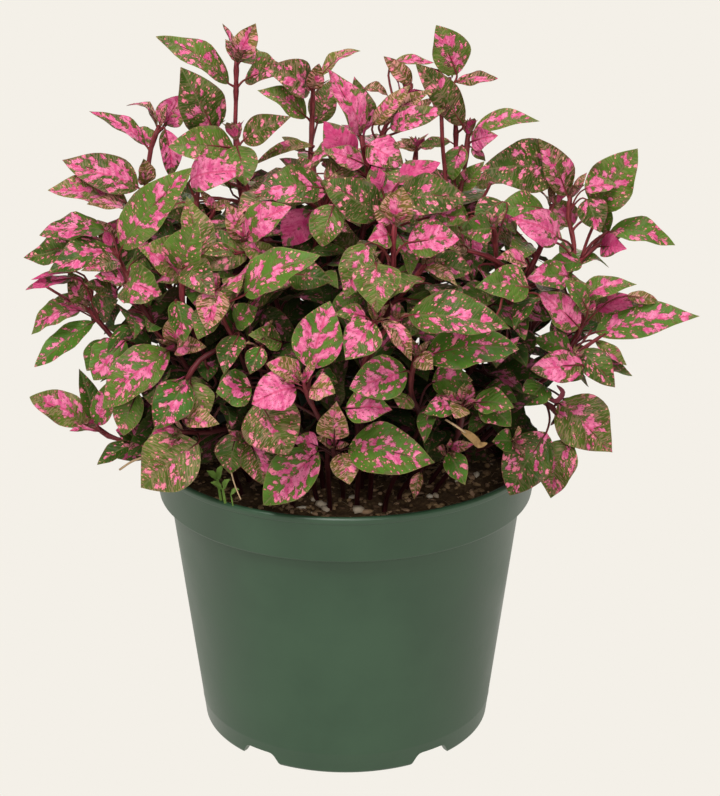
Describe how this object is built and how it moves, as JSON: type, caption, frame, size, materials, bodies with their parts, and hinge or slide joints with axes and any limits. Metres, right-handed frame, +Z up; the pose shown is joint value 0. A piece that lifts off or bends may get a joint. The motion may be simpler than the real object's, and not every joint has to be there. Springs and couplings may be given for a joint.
{
  "type": "potted polka dot plant",
  "caption": "Bushy mound of pink-splashed green leaves on thin reddish stems, growing in dark soil in a round tapered plastic nursery pot with a wide lip band.",
  "frame": {"origin": "on the pot's upright axis, in the plane that the pot stands on", "axes": "+Z up along the pot's axis, -Y towards the side that the picture shows, +X to its right"},
  "size_m": [0.255, 0.2275, 0.2874],
  "materials": {
    "pot_plastic": "dark green moulded plastic, satin",
    "potting_soil": "dark brown peat and bark with pale specks, matt",
    "foliage": "soft green leaves splashed with pink, reddish stems"
  },
  "bodies": {
    "root": {"leafy_stem_back1": "foliage", "leafy_stem_back2": "foliage", "leafy_stem_back3": "foliage", "leafy_stem_back4": "foliage", "leafy_stem_back5": "foliage", "leafy_stem_back6": "foliage", "leafy_stem_far_left": "foliage", "leafy_stem_far_left_low": "foliage", "leafy_stem_front_left": "foliage", "leafy_stem_front_left_back": "foliage", "leafy_stem_front_low": "foliage", "leafy_stem_front_middle": "foliage", "leafy_stem_front_right": "foliage", "leafy_stem_front_top": "foliage", "leafy_stem_left_fork": "foliage", "leafy_stem_left_front": "foliage", "leafy_stem_left_low": "foliage", "leafy_stem_low_left": "foliage", "leafy_stem_middle": "foliage", "leafy_stem_middle_back": "foliage", "leafy_stem_middle_left": "foliage", "leafy_stem_right_inner": "foliage", "leafy_stem_right_low": "foliage", "leafy_stem_right_side": "foliage", "leafy_stem_right_upper": "foliage", "leafy_stem_tall_left": "foliage", "leafy_stem_top_back": "foliage", "leafy_stem_top_middle": "foliage", "leafy_stem_top_right": "foliage", "leafy_stem_top_right_middle": "foliage", "leafy_stem_upper_left": "foliage", "pot": "pot_plastic", "soil": "potting_soil"}
  },
  "joints": []
}
